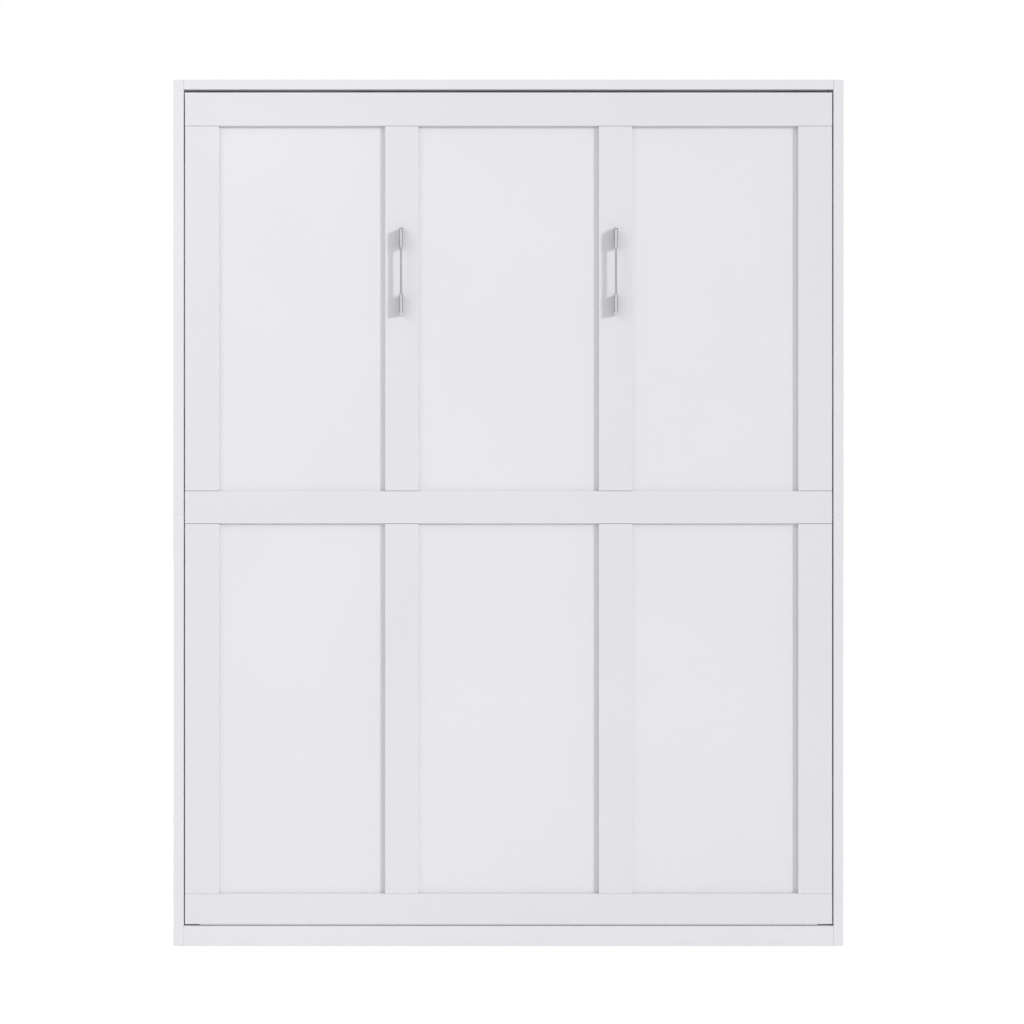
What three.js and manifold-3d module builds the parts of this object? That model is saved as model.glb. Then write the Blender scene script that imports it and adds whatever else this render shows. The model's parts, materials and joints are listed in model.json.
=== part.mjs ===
// A vertical wall bed. A shallow cabinet stands against a wall, and its whole front is the
// underside of a queen-size bed that folds down out of it about two pins near the floor.
// Millimetres, +Z up, the front faces -Y. Heights are measured from the floor, depths (y) from
// the cabinet's front edges, and the last lines move the origin to the middle of the base.
import * as THREE from "three";
import { mergeVertices } from "three/addons/utils/BufferGeometryUtils.js";
import Module from "manifold-3d";

const wasm = await Module();
wasm.setup();

// ---- Driving dimensions ----

// Fits: boards that meet, a turning part round its pin, and a flat part beside another
const BOARD_GAP = 0.2;
const TURNING_GAP = 0.3;
const SIDE_PLAY = 1;

// Mattress, a queen
const MATTRESS_WIDTH = 1524;
const MATTRESS_LENGTH = 2032;
const MATTRESS_DEPTH = 230;
const MATTRESS_SIDE_ROOM = 4;
const MATTRESS_END_ROOM = 3;
const MATTRESS_SLAT_ROOM = 0.4;

// Cabinet boards
const SIDE_THICK = 25;
const TOP_THICK = 24;
const LOWER_SIDE_HEIGHT = 1076;
const SIDE_SEAM = 0.6;
const KICK_HEIGHT = 51;
const KICK_THICK = 15;
const BACK_THICK = 18;
const SWEEP_ROOM = 17;
const LOWER_BACK_HEIGHT = 100;
const HEADBOARD_BOTTOM = 400;
const HEADBOARD_HEIGHT = 600;
const MIDDLE_BACK_BOTTOM = 1250;
const MIDDLE_BACK_HEIGHT = 100;
const UPPER_BACK_HEIGHT = 120;
const JOINT_PLATE_HEIGHT = 140;
const JOINT_PLATE_DEPTH = 200;
const JOINT_PLATE_FROM_FRONT = 130;

// Gaps round the folding face
const FACE_SIDE_GAP = 3;
const BOTTOM_GAP = 4;
const TOP_GAP = 7;
const FACE_RECESS = 3;

// Face: two boards, with rails and stiles laid on them
const FACE_BOARD_THICK = 15;
const FACE_BOARD_GAP = 1;
const STRIP_THICK = 12;
const TOP_RAIL_WIDTH = 83.5;
const MIDDLE_RAIL_BOTTOM = 1054;
const MIDDLE_RAIL_WIDTH = 81;
const BOTTOM_RAIL_WIDTH = 76;
const OUTER_STILE_WIDTH = 85;
const INNER_STILE_WIDTH = 83.5;
const INNER_STILE_X = 266.5;
const STILE_END_GAP = 0.8;
const STILE_FOOT_GAP = 0.3;

// Pull handles
const HANDLE_CENTRE_HEIGHT = 1681.5;
const HANDLE_BASE_LENGTH = 219;
const HANDLE_FRONT_LENGTH = 210;
const HANDLE_WINDOW_LENGTH = 116;
const HANDLE_REACH = 30;
const HANDLE_POST_WIDTH = 7.5;
const HANDLE_GRIP_WIDTH = 5;
const HANDLE_GRIP_DEPTH = 8;

// Bed frame
const BED_RAIL_THICK = 18;
const BED_RAIL_DEPTH = 120;
const LEDGE_WIDTH = 20;
const LEDGE_DEPTH = 32;
const BEAM_WIDTH = 44;
const SLAT_COUNT = 8;
const SLAT_WIDTH = 90;
const SLAT_THICK = 12;
const SLAT_END_ROOM = 90;

// Fold: pins on the cabinet, bushes in the bed's side rails
const PIVOT_DEPTH = 70;
const PIVOT_HEIGHT = 300;
const PIN_RADIUS = 8;
const PIN_SPACER_RADIUS = 14;
const BUSH_RADIUS = 12;
const PLATE_THICK = 3;
const BED_PLATE_PIVOT_RADIUS = 38;
const BED_PLATE_STUD_RADIUS = 24;
const CABINET_PLATE_PIVOT_RADIUS = 38;
const CABINET_PLATE_STUD_RADIUS = 28;

// Gas struts: their ends are given from the fold's pivot, [back, up], with the bed closed
const STRUT_TOP_FROM_PIVOT = [140, 560];
const STRUT_FOOT_FROM_PIVOT = [20, -200];
const STRUT_RADIUS = 9;
const STRUT_ROD_RADIUS = 4;
const STRUT_WALL = 1.5;
const STRUT_CAP_THICK = 3;
const STRUT_PLATE_ROOM = 0.8;
const STRUT_GUIDE_LENGTH = 20;
const STRUT_CYLINDER_LENGTH = 430;
const STRUT_PISTON_LENGTH = 10;
const STRUT_END_STOP = 6;
const EYE_RADIUS = 10;
const EYE_WIDTH = 12;
const EYE_SHANK_LENGTH = 25;
const EYE_SHANK_RADIUS = 5;
const EYE_SHANK_SINK = 2;
const STUD_RADIUS = 5;

// Folding legs at the bed's foot
const LEG_THICK = 5;
const LEG_WIDTH = 40;
const LEG_PIVOT_FROM_RAIL = 126;
const LEG_PIVOT_DEPTH = 55;
const LEG_PAD = 3;
const LEG_BOLT_RADIUS = 5;
const LEG_BOLT_HEAD_RADIUS = 8;
const LEG_BOLT_HEAD_HEIGHT = 3;
const LEG_NUT_HEIGHT = 8;
const LEG_CUT_PAST_FACES = 1;

// Strap that holds the mattress and bedding
const STRAP_WIDTH = 40;
const STRAP_THICK = 2;
const STRAP_ROOM = 0.8;
const STRAP_HEIGHT = 1130;
const STRAP_ANCHOR_DEPTH = 95;

// ---- Planes that follow from them ----

// Across, from the middle
const mattressX = MATTRESS_WIDTH / 2;
const railInnerX = mattressX + MATTRESS_SIDE_ROOM;
const railOuterX = railInnerX + BED_RAIL_THICK;
// The struts run between the bed's plates and the cabinet's
const mechanismGap = 2 * (BOARD_GAP + PLATE_THICK + STRUT_PLATE_ROOM + STRUT_RADIUS);
const sideInnerX = railOuterX + mechanismGap;
const sideOuterX = sideInnerX + SIDE_THICK;
const faceX = sideInnerX - FACE_SIDE_GAP;
const bedPlateX = railOuterX + BOARD_GAP;
const cabinetPlateX = sideInnerX - BOARD_GAP - PLATE_THICK;
const strutX = (bedPlateX + PLATE_THICK + cabinetPlateX) / 2;
const legPivotX = railInnerX - LEG_PIVOT_FROM_RAIL;

// Up
const bedBottom = KICK_HEIGHT + BOTTOM_GAP;
const mattressBottom = bedBottom + BED_RAIL_THICK + MATTRESS_END_ROOM;
const mattressTop = mattressBottom + MATTRESS_LENGTH;
const bedTop = mattressTop + MATTRESS_END_ROOM + BED_RAIL_THICK;
const topPanelBottom = bedTop + TOP_GAP;
const cabinetHeight = topPanelBottom + TOP_THICK;
const faceBoardJoint = MIDDLE_RAIL_BOTTOM + MIDDLE_RAIL_WIDTH / 2;
const legBottom = bedTop + (TOP_GAP - LEG_THICK) / 2;

// Back
const stripFront = FACE_RECESS;
const stripBack = stripFront + STRIP_THICK;
const boardFront = stripBack + BOARD_GAP;
const boardBack = boardFront + FACE_BOARD_THICK;
const railFront = boardBack + BOARD_GAP;
const railBack = railFront + BED_RAIL_DEPTH;
const ledgeBack = railFront + LEDGE_DEPTH;
const slatFront = ledgeBack + BOARD_GAP;
const slatBack = slatFront + SLAT_THICK;
const mattressFront = slatBack + MATTRESS_SLAT_ROOM;
const mattressBack = mattressFront + MATTRESS_DEPTH;
// The mattress's rear corner at the head swings round the pivot, and the back boards stay clear of it
const sweepRadius = Math.hypot(mattressBack - PIVOT_DEPTH, PIVOT_HEIGHT - mattressBottom);
const backFront = Math.ceil(PIVOT_DEPTH + sweepRadius + SWEEP_ROOM);
const cabinetDepth = backFront + BACK_THICK;

// ---- Finishes ----

const finish = (color, roughness, metalness = 0) =>
  new THREE.MeshStandardMaterial({ color, roughness, metalness });
const whiteLacquer = finish(0xe8e8eb, 0.4);
const whiteMelamine = finish(0xe4e4e6, 0.55);
const pineWood = finish(0xd2ab76, 0.65);
const birchWood = finish(0xdcc39a, 0.6);
const zincSteel = finish(0xb4b7ba, 0.4, 1);
const polishedChrome = finish(0xd6d8db, 0.12, 1);
const blackPaint = finish(0x1c1d1f, 0.45);
const bronzeBush = finish(0x6b5a3e, 0.5);
const whitePaintedSteel = finish(0xdcdcde, 0.45);
const ticking = finish(0xf0efea, 0.9);
const webbing = finish(0x4a4d52, 0.85);

// ---- Shape helpers ----

const UP = new THREE.Vector3(0, 1, 0);
const ROUND_SIDES = 32;
// Turns a flat outline in (y, z) so that its thickness runs along x
const facingSide = new THREE.Matrix4().makeBasis(
  new THREE.Vector3(0, 1, 0),
  new THREE.Vector3(0, 0, 1),
  new THREE.Vector3(1, 0, 0),
);

function named(name, geometry, material) {
  const mesh = new THREE.Mesh(geometry, material);
  mesh.name = name;
  return mesh;
}

// A board between two opposite corners
function board(name, material, low, high) {
  const size = high.map((value, i) => value - low[i]);
  const mesh = named(name, new THREE.BoxGeometry(...size), material);
  mesh.position.set(...size.map((value, i) => low[i] + value / 2));
  return mesh;
}

function polygon(points) {
  return new THREE.Shape(points.map(([a, b]) => new THREE.Vector2(a, b)));
}

function rectangle([a0, b0], [a1, b1]) {
  return polygon([[a0, b0], [a1, b0], [a1, b1], [a0, b1]]);
}

// A flat link: the outline that wraps round a circle at each end
function link([a, b], radius, [c, d], endRadius) {
  const length = Math.hypot(c - a, d - b);
  const heading = Math.atan2(d - b, c - a);
  const lean = Math.acos((radius - endRadius) / length);
  const shape = new THREE.Shape();
  shape.absarc(c, d, endRadius, heading - lean, heading + lean);
  shape.absarc(a, b, radius, heading + lean, heading - lean + 2 * Math.PI);
  return shape;
}

function hole([a, b], radius) {
  return new THREE.Path().absarc(a, b, radius, 0, 2 * Math.PI);
}

function extruded(shape, from, to) {
  const options = { depth: to - from, bevelEnabled: false, curveSegments: ROUND_SIDES / 2 };
  return new THREE.ExtrudeGeometry(shape, options).translate(0, 0, from);
}

// An outline in (y, z), thick from one x to another
function sidePlate(shape, from, to) {
  return extruded(shape, Math.min(from, to), Math.max(from, to)).applyMatrix4(facingSide);
}

// A turned piece: [radius, distance] points along a direction from a start
function turned(profile, start, direction) {
  const points = profile.map(([radius, distance]) => new THREE.Vector2(radius, distance));
  const turn = new THREE.Quaternion().setFromUnitVectors(UP, direction);
  const geometry = new THREE.LatheGeometry(points, ROUND_SIDES);
  return geometry.applyQuaternion(turn).translate(start.x, start.y, start.z);
}

// A closed geometry as a solid for joining and cutting
function solidOf(geometry) {
  const bare = geometry.index ? geometry.toNonIndexed() : geometry.clone();
  bare.deleteAttribute("normal");
  bare.deleteAttribute("uv");
  const merged = mergeVertices(bare, 1e-4);
  const mesh = new wasm.Mesh({
    numProp: 3,
    vertProperties: merged.attributes.position.array,
    triVerts: new Uint32Array(merged.index.array),
  });
  return new wasm.Manifold(mesh);
}

function geometryOf(solid) {
  const { vertProperties, triVerts } = solid.getMesh();
  const geometry = new THREE.BufferGeometry();
  geometry.setAttribute("position", new THREE.BufferAttribute(vertProperties, 3));
  geometry.setIndex(new THREE.BufferAttribute(triVerts, 1));
  geometry.computeVertexNormals();
  return geometry;
}

const SIDES = [
  ["left", -1],
  ["right", 1],
];

// ---- Cabinet ----

function cabinetSide(name, side) {
  const x = [side * sideInnerX, side * sideOuterX].sort((a, b) => a - b);
  const split = LOWER_SIDE_HEIGHT;
  return [
    board(`${name}_side_lower`, whiteLacquer, [x[0], 0, 0], [x[1], cabinetDepth, split]),
    board(
      `${name}_side_upper`,
      whiteLacquer,
      [x[0], 0, split + SIDE_SEAM],
      [x[1], cabinetDepth, cabinetHeight],
    ),
  ];
}

// A steel plate inside the cabinet that joins the two halves of a side
function jointPlate(name, side) {
  const low = [JOINT_PLATE_FROM_FRONT, LOWER_SIDE_HEIGHT - JOINT_PLATE_HEIGHT / 2];
  const high = [JOINT_PLATE_FROM_FRONT + JOINT_PLATE_DEPTH, low[1] + JOINT_PLATE_HEIGHT];
  const x = side * cabinetPlateX;
  const geometry = sidePlate(rectangle(low, high), x, x + side * PLATE_THICK);
  return named(`${name}_joint_plate`, geometry, zincSteel);
}

// Boards that run between the two sides
function crossBoard(name, y, z) {
  const x = sideInnerX - BOARD_GAP;
  return board(name, whiteLacquer, [-x, y[0], z[0]], [x, y[1], z[1]]);
}

function crossBoards() {
  const back = [backFront, cabinetDepth];
  const upperTop = topPanelBottom - BOARD_GAP;
  return [
    crossBoard("top_panel", [0, cabinetDepth], [topPanelBottom, cabinetHeight]),
    crossBoard("kick_board", [0, KICK_THICK], [0, KICK_HEIGHT]),
    crossBoard("lower_back_rail", back, [0, LOWER_BACK_HEIGHT]),
    crossBoard("headboard_panel", back, [HEADBOARD_BOTTOM, HEADBOARD_BOTTOM + HEADBOARD_HEIGHT]),
    crossBoard("middle_wall_rail", back, [MIDDLE_BACK_BOTTOM, MIDDLE_BACK_BOTTOM + MIDDLE_BACK_HEIGHT]),
    crossBoard("upper_wall_rail", back, [upperTop - UPPER_BACK_HEIGHT, upperTop]),
  ];
}

// ---- Fold: cabinet plates, pins, bed plates and bushes ----

const pivot = [PIVOT_DEPTH, PIVOT_HEIGHT];
const strutTop = pivot.map((value, i) => value + STRUT_TOP_FROM_PIVOT[i]);
const strutFoot = pivot.map((value, i) => value + STRUT_FOOT_FROM_PIVOT[i]);
const along = (side) => new THREE.Vector3(side, 0, 0);
const at = (x, [y, z]) => new THREE.Vector3(x, y, z);

// The cabinet's plate, with the pin's hole and the strut's upper stud riveted in
function cabinetPlate(name, side) {
  const shape = link(pivot, CABINET_PLATE_PIVOT_RADIUS, strutTop, CABINET_PLATE_STUD_RADIUS);
  shape.holes.push(hole(pivot, PIN_RADIUS + TURNING_GAP));
  const plate = sidePlate(shape, side * cabinetPlateX, side * (cabinetPlateX + PLATE_THICK));
  const reach = cabinetPlateX - strutX + EYE_WIDTH / 2;
  const root = PLATE_THICK / 2;
  const profile = [
    [0, -reach],
    [STUD_RADIUS, -reach],
    [STUD_RADIUS, root],
    [0, root],
  ];
  const stud = turned(profile, at(side * cabinetPlateX, strutTop), along(side));
  return named(`${name}_cabinet_plate`, geometryOf(solidOf(plate).add(solidOf(stud))), zincSteel);
}

// The pin runs from the cabinet plate through the bed plate into the bush, with a spacer on it
function pivotPin(name, side) {
  const spacerFrom = bedPlateX + PLATE_THICK + SIDE_PLAY;
  const spacerTo = cabinetPlateX - BOARD_GAP;
  const end = cabinetPlateX + PLATE_THICK;
  const start = railInnerX + TURNING_GAP;
  const profile = [
    [0, start],
    [PIN_RADIUS, start],
    [PIN_RADIUS, spacerFrom],
    [PIN_SPACER_RADIUS, spacerFrom],
    [PIN_SPACER_RADIUS, spacerTo],
    [PIN_RADIUS, spacerTo],
    [PIN_RADIUS, end],
    [0, end],
  ];
  return named(`${name}_pivot_pin`, turned(profile, at(0, pivot), along(side)), zincSteel);
}

// The bed's plate, with a short stud where the strut's lower eye sits
function bedPlate(name, side) {
  const shape = link(strutFoot, BED_PLATE_STUD_RADIUS, pivot, BED_PLATE_PIVOT_RADIUS);
  shape.holes.push(hole(pivot, PIN_RADIUS + TURNING_GAP));
  const plate = sidePlate(shape, side * bedPlateX, side * (bedPlateX + PLATE_THICK));
  const top = strutX - EYE_WIDTH / 2 - SIDE_PLAY - bedPlateX;
  const root = PLATE_THICK / 2;
  const profile = [
    [0, root],
    [STUD_RADIUS, root],
    [STUD_RADIUS, top],
    [0, top],
  ];
  const stud = turned(profile, at(side * bedPlateX, strutFoot), along(side));
  return named(`${name}_bed_plate`, geometryOf(solidOf(plate).add(solidOf(stud))), blackPaint);
}

function pivotBush(name, side) {
  const bore = PIN_RADIUS + TURNING_GAP;
  const profile = [
    [bore, railInnerX],
    [BUSH_RADIUS, railInnerX],
    [BUSH_RADIUS, railOuterX],
    [bore, railOuterX],
    [bore, railInnerX],
  ];
  return named(`${name}_pivot_bush`, turned(profile, at(0, pivot), along(side)), bronzeBush);
}

// ---- Gas struts ----

const strutSpan = new THREE.Vector3(0, strutFoot[0] - strutTop[0], strutFoot[1] - strutTop[1]);
const strutDirection = strutSpan.clone().normalize();

// An end eye with its shank, round a stud at the centre given
function eye(side, centre) {
  const shape = new THREE.Shape().absarc(...centre, EYE_RADIUS, 0, 2 * Math.PI);
  shape.holes.push(hole(centre, STUD_RADIUS + TURNING_GAP));
  const x = side * strutX - EYE_WIDTH / 2;
  return sidePlate(shape, x, x + EYE_WIDTH);
}

// The cylinder hangs from the cabinet's stud; its bore is open at the foot, where the rod enters
function strutCylinder(name, side) {
  const head = EYE_SHANK_LENGTH;
  const foot = head + STRUT_CYLINDER_LENGTH;
  const neck = EYE_RADIUS - EYE_SHANK_SINK;
  const bore = STRUT_RADIUS - STRUT_WALL;
  const guide = STRUT_ROD_RADIUS + TURNING_GAP;
  const boreTop = head + STRUT_CAP_THICK;
  const guideTop = foot - STRUT_GUIDE_LENGTH;
  const profile = [
    [0, neck],
    [EYE_SHANK_RADIUS, neck],
    [EYE_SHANK_RADIUS, head],
    [STRUT_RADIUS, head],
    [STRUT_RADIUS, foot],
    [guide, foot],
    [guide, guideTop],
    [bore, guideTop],
    [bore, boreTop],
    [0, boreTop],
  ];
  const tube = turned(profile, at(side * strutX, strutTop), strutDirection);
  const solid = solidOf(tube).add(solidOf(eye(side, strutTop)));
  return named(`${name}_strut_cylinder`, geometryOf(solid), blackPaint);
}

// The rod rises from the bed's stud, with its piston just above the guide when the bed is closed
function strutRod(name, side) {
  const guideTop = strutSpan.length() - EYE_SHANK_LENGTH - STRUT_CYLINDER_LENGTH + STRUT_GUIDE_LENGTH;
  const pistonFoot = guideTop + STRUT_END_STOP;
  const pistonTop = pistonFoot + STRUT_PISTON_LENGTH;
  const piston = STRUT_RADIUS - STRUT_WALL - TURNING_GAP;
  const neck = EYE_RADIUS - EYE_SHANK_SINK;
  const profile = [
    [0, neck],
    [EYE_SHANK_RADIUS, neck],
    [EYE_SHANK_RADIUS, EYE_SHANK_LENGTH],
    [STRUT_ROD_RADIUS, EYE_SHANK_LENGTH],
    [STRUT_ROD_RADIUS, pistonFoot],
    [piston, pistonFoot],
    [piston, pistonTop],
    [0, pistonTop],
  ];
  const up = strutDirection.clone().negate();
  const shaft = turned(profile, at(side * strutX, strutFoot), up);
  const solid = solidOf(shaft).add(solidOf(eye(side, strutFoot)));
  return named(`${name}_strut_rod`, geometryOf(solid), polishedChrome);
}

// ---- Bed frame ----

// A side rail with the bush's hole
function bedSideRail(name, side) {
  const shape = rectangle([railFront, bedBottom], [railBack, bedTop]);
  shape.holes.push(hole(pivot, BUSH_RADIUS + TURNING_GAP));
  const geometry = sidePlate(shape, side * railInnerX, side * railOuterX);
  return named(`${name}_bed_rail`, geometry, whiteMelamine);
}

function headBedRail() {
  const x = railInnerX - BOARD_GAP;
  const high = [x, railBack, bedBottom + BED_RAIL_THICK];
  return board("head_bed_rail", whiteMelamine, [-x, railFront, bedBottom], high);
}

// The foot rail, with a hole for each leg's bolt
function footBedRail() {
  const x = railInnerX - BOARD_GAP;
  const shape = rectangle([-x, railFront], [x, railBack]);
  for (const [, side] of SIDES) {
    shape.holes.push(hole([side * legPivotX, LEG_PIVOT_DEPTH], LEG_BOLT_RADIUS + TURNING_GAP));
  }
  return named("foot_bed_rail", extruded(shape, bedTop - BED_RAIL_THICK, bedTop), whiteMelamine);
}

const insideBottom = bedBottom + BED_RAIL_THICK + BOARD_GAP;
const insideTop = bedTop - BED_RAIL_THICK - BOARD_GAP;

// A ledge along each side rail carries the slats' ends
function slatLedge(name, side) {
  const outer = railInnerX - BOARD_GAP;
  const x = [side * outer, side * (outer - LEDGE_WIDTH)].sort((a, b) => a - b);
  const low = [x[0], railFront, insideBottom];
  return board(`${name}_slat_ledge`, pineWood, low, [x[1], ledgeBack, insideTop]);
}

function centreBeam() {
  const x = BEAM_WIDTH / 2;
  return board("centre_beam", pineWood, [-x, railFront, insideBottom], [x, ledgeBack, insideTop]);
}

function slats() {
  const x = railInnerX - SIDE_PLAY;
  const first = insideBottom + SLAT_END_ROOM;
  const last = insideTop - SLAT_END_ROOM - SLAT_WIDTH;
  const pitch = (last - first) / (SLAT_COUNT - 1);
  const made = [];
  for (let i = 0; i < SLAT_COUNT; i += 1) {
    const z = first + i * pitch;
    made.push(board(`slat_${i + 1}`, birchWood, [-x, slatFront, z], [x, slatBack, z + SLAT_WIDTH]));
  }
  return made;
}

// ---- Face ----

function faceBoards() {
  const low = faceBoardJoint - FACE_BOARD_GAP / 2;
  const high = faceBoardJoint + FACE_BOARD_GAP / 2;
  return [
    board("lower_face_board", whiteLacquer, [-faceX, boardFront, bedBottom], [faceX, boardBack, low]),
    board("upper_face_board", whiteLacquer, [-faceX, boardFront, high], [faceX, boardBack, bedTop]),
  ];
}

function faceRail(name, bottom, width) {
  const low = [-faceX, stripFront, bottom];
  return board(name, whiteLacquer, low, [faceX, stripBack, bottom + width]);
}

function faceRails() {
  return [
    faceRail("bottom_face_rail", bedBottom, BOTTOM_RAIL_WIDTH),
    faceRail("middle_face_rail", MIDDLE_RAIL_BOTTOM, MIDDLE_RAIL_WIDTH),
    faceRail("top_face_rail", bedTop - TOP_RAIL_WIDTH, TOP_RAIL_WIDTH),
  ];
}

// Four stiles fill each height between two rails
function faceStiles() {
  const outer = faceX - OUTER_STILE_WIDTH / 2;
  const rows = [
    ["lower", bedBottom + BOTTOM_RAIL_WIDTH + STILE_FOOT_GAP, MIDDLE_RAIL_BOTTOM - STILE_END_GAP],
    [
      "upper",
      MIDDLE_RAIL_BOTTOM + MIDDLE_RAIL_WIDTH + STILE_END_GAP,
      bedTop - TOP_RAIL_WIDTH - STILE_END_GAP,
    ],
  ];
  const columns = [
    ["left_outer", -outer, OUTER_STILE_WIDTH],
    ["left_inner", -INNER_STILE_X, INNER_STILE_WIDTH],
    ["right_inner", INNER_STILE_X, INNER_STILE_WIDTH],
    ["right_outer", outer, OUTER_STILE_WIDTH],
  ];
  return rows.flatMap(([row, bottom, top]) =>
    columns.map(([column, x, width]) => {
      const low = [x - width / 2, stripFront, bottom];
      const high = [x + width / 2, stripBack, top];
      return board(`${row}_${column}_stile`, whiteLacquer, low, high);
    }),
  );
}

// A pull: two tapered posts on a stile, and a thinner grip that runs between them
function handle(name, side) {
  const base = stripFront - BOARD_GAP;
  const front = stripFront - HANDLE_REACH;
  const inner = HANDLE_WINDOW_LENGTH / 2;
  const x = side * INNER_STILE_X;
  const middle = HANDLE_CENTRE_HEIGHT;
  const bar = (points, width) =>
    solidOf(sidePlate(polygon(points), x - width / 2, x + width / 2));
  const post = (way) => {
    const outline = [
      [base, middle + way * inner],
      [base, middle + (way * HANDLE_BASE_LENGTH) / 2],
      [front, middle + (way * HANDLE_FRONT_LENGTH) / 2],
      [front, middle + way * inner],
    ];
    return bar(outline, HANDLE_POST_WIDTH);
  };
  const end = inner + HANDLE_POST_WIDTH;
  const grip = bar(
    [
      [front, middle - end],
      [front + HANDLE_GRIP_DEPTH, middle - end],
      [front + HANDLE_GRIP_DEPTH, middle + end],
      [front, middle + end],
    ],
    HANDLE_GRIP_WIDTH,
  );
  return named(`${name}_handle`, geometryOf(post(1).add(post(-1)).add(grip)), polishedChrome);
}

// ---- Mattress and its strap ----

function mattress() {
  const low = [-mattressX, mattressFront, mattressBottom];
  return board("mattress", ticking, low, [mattressX, mattressBack, mattressTop]);
}

// The strap crosses the mattress, and its ends go down beside it to the side rails
function mattressStrap() {
  const inX = mattressX + STRAP_ROOM;
  const outX = inX + STRAP_THICK;
  const inY = mattressBack + STRAP_ROOM;
  const outY = inY + STRAP_THICK;
  const shape = polygon([
    [-outX, STRAP_ANCHOR_DEPTH],
    [-inX, STRAP_ANCHOR_DEPTH],
    [-inX, inY],
    [inX, inY],
    [inX, STRAP_ANCHOR_DEPTH],
    [outX, STRAP_ANCHOR_DEPTH],
    [outX, outY],
    [-outX, outY],
  ]);
  const low = STRAP_HEIGHT - STRAP_WIDTH / 2;
  return named("mattress_strap", extruded(shape, low, low + STRAP_WIDTH), webbing);
}

// ---- Folding legs ----

// With the bed down, a leg's pad meets the floor
const legReach = PIVOT_HEIGHT - PIVOT_DEPTH + LEG_PIVOT_DEPTH - LEG_PAD;
const legPivot = (side, z) => new THREE.Vector3(side * legPivotX, LEG_PIVOT_DEPTH, z);
const boltHeadTop = LEG_THICK - TURNING_GAP;
const turnedUp = (profile) => turned(profile, new THREE.Vector3(), UP).rotateX(Math.PI / 2);

// The bolt's countersunk head up to a top; room widens it for the leg's own hole
function boltHead(room, top) {
  const head = boltHeadTop - LEG_BOLT_HEAD_HEIGHT;
  return [
    [LEG_BOLT_RADIUS + room, head - room],
    [LEG_BOLT_HEAD_RADIUS + room, boltHeadTop - room],
    [LEG_BOLT_HEAD_RADIUS + room, top],
    [0, top],
  ];
}

function legHole() {
  const foot = -LEG_CUT_PAST_FACES;
  return turnedUp([
    [0, foot],
    [LEG_BOLT_RADIUS + TURNING_GAP, foot],
    ...boltHead(TURNING_GAP, LEG_THICK + LEG_CUT_PAST_FACES),
  ]);
}

// A flat bar that lies along the foot rail and swings out at right angles to it
function leg(name, side) {
  const half = LEG_WIDTH / 2;
  const shape = new THREE.Shape();
  shape.moveTo(0, -half);
  shape.lineTo(legReach, -half);
  shape.lineTo(legReach, half);
  shape.lineTo(0, half);
  shape.absarc(0, 0, half, Math.PI / 2, (3 * Math.PI) / 2);
  const bar = extruded(shape, 0, LEG_THICK);
  const drilled = solidOf(bar).subtract(solidOf(legHole()));
  const mesh = named(`${name}_leg`, geometryOf(drilled), whitePaintedSteel);
  mesh.position.copy(legPivot(side, legBottom));
  mesh.rotation.z = side > 0 ? Math.PI : 0;
  return mesh;
}

// The bolt through the foot rail, countersunk in the leg, with its nut inside the bed
function legBolt(name, side) {
  const below = legBottom - bedTop + BED_RAIL_THICK + BOARD_GAP;
  const profile = [
    [0, -below - LEG_NUT_HEIGHT],
    [LEG_BOLT_HEAD_RADIUS, -below - LEG_NUT_HEIGHT],
    [LEG_BOLT_HEAD_RADIUS, -below],
    [LEG_BOLT_RADIUS, -below],
    ...boltHead(0, boltHeadTop),
  ];
  const mesh = named(`${name}_leg_bolt`, turnedUp(profile), zincSteel);
  mesh.position.copy(legPivot(side, legBottom));
  return mesh;
}

// ---- The whole bed ----

const wallBed = new THREE.Group();
wallBed.add(...crossBoards(), headBedRail(), footBedRail(), centreBeam(), ...slats());
wallBed.add(...faceBoards(), ...faceRails(), ...faceStiles(), mattress(), mattressStrap());
for (const [name, side] of SIDES) {
  wallBed.add(...cabinetSide(name, side));
  wallBed.add(jointPlate(name, side), cabinetPlate(name, side), pivotPin(name, side));
  wallBed.add(bedSideRail(name, side), slatLedge(name, side));
  wallBed.add(bedPlate(name, side), pivotBush(name, side));
  wallBed.add(strutCylinder(name, side), strutRod(name, side));
  wallBed.add(handle(name, side), leg(name, side), legBolt(name, side));
}
// The box runs from the handles' fronts to the cabinet's back
wallBed.position.y = -(stripFront - HANDLE_REACH + cabinetDepth) / 2;

export default wallBed;
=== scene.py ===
# The looks of a vertical wall bed: lacquered boards, chrome pulls, the fold's steelwork, and the
# mattress and strap inside. Metres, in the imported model's frame: +Z up, the face towards -Y.
import json
import math

import bmesh
import bpy
import numpy as np
from mathutils import Matrix, Vector


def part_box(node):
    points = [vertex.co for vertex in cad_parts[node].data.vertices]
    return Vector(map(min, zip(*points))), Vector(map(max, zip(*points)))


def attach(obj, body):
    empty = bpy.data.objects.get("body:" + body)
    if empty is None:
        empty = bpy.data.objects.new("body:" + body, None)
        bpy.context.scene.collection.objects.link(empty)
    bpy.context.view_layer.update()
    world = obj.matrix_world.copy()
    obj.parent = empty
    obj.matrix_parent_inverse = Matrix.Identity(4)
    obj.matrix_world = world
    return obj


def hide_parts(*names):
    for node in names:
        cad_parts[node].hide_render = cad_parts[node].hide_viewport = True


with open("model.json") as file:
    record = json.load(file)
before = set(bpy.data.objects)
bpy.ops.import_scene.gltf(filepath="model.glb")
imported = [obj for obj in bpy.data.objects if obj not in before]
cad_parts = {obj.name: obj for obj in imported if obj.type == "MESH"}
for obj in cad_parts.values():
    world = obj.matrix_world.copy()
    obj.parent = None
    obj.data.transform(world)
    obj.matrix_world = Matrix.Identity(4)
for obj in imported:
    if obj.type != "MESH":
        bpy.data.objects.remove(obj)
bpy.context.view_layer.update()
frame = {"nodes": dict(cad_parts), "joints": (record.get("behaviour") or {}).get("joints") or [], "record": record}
MM = 0.001
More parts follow.
